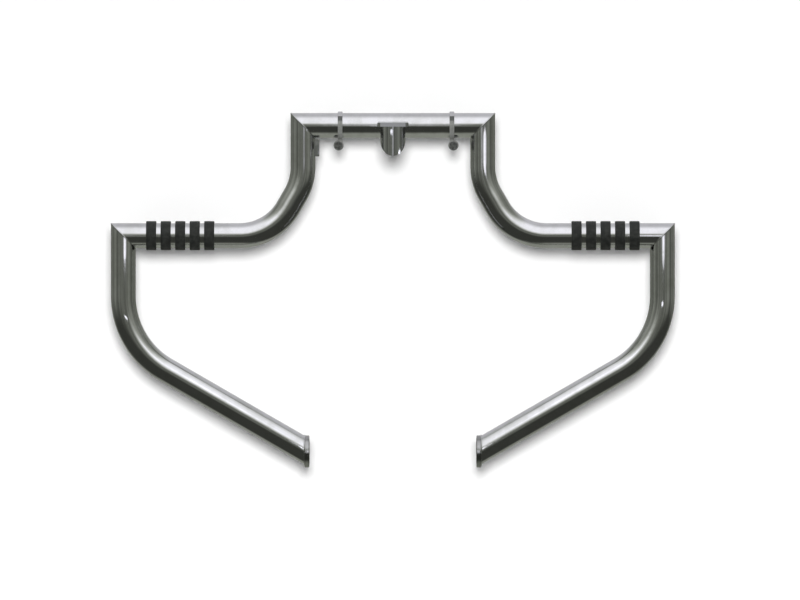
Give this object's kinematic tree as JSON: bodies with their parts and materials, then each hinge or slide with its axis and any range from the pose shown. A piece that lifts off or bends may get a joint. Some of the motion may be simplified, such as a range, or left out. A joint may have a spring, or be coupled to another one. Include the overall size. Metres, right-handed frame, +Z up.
{
  "type": "motorcycle crash bars",
  "caption": "Chromed tube crash bars: mitred crossbar, bent foot-rest legs with rubber rings, two bolted end plates, strap clamps and a centre bracket.",
  "frame": {"origin": "middle of the crossbar's axis, on the symmetry plane, where the bar is held against the motorcycle's frame", "axes": "+X to the object's right as seen from the front, +Y rearward, +Z up; the bar stands as it is mounted"},
  "size_m": [0.7218, 0.0869, 0.4556],
  "materials": {
    "chrome_tube": "polished",
    "chrome_plate": "polished",
    "chrome_bracket": "polished",
    "plated_strap": "satin plated",
    "plated_fastener": "satin plated",
    "ring_rubber": "matte"
  },
  "bodies": {
    "root": {"crossbar": "chrome_tube", "left_upper_leg": "chrome_tube", "right_upper_leg": "chrome_tube", "left_lower_leg": "chrome_tube", "right_lower_leg": "chrome_tube", "left_end_plate": "chrome_plate", "right_end_plate": "chrome_plate", "centre_bracket": "chrome_bracket", "left_tab": "chrome_bracket", "left_ring_1": "ring_rubber", "left_ring_2": "ring_rubber", "left_ring_3": "ring_rubber", "left_ring_4": "ring_rubber", "left_ring_5": "ring_rubber", "right_ring_1": "ring_rubber", "right_ring_2": "ring_rubber", "right_ring_3": "ring_rubber", "right_ring_4": "ring_rubber", "right_ring_5": "ring_rubber", "left_strap": "plated_strap", "right_strap": "plated_strap", "left_clamp_bolt": "plated_fastener", "right_clamp_bolt": "plated_fastener", "left_clamp_washer": "plated_fastener", "right_clamp_washer": "plated_fastener", "left_clamp_nut": "plated_fastener", "right_clamp_nut": "plated_fastener"}
  },
  "joints": []
}
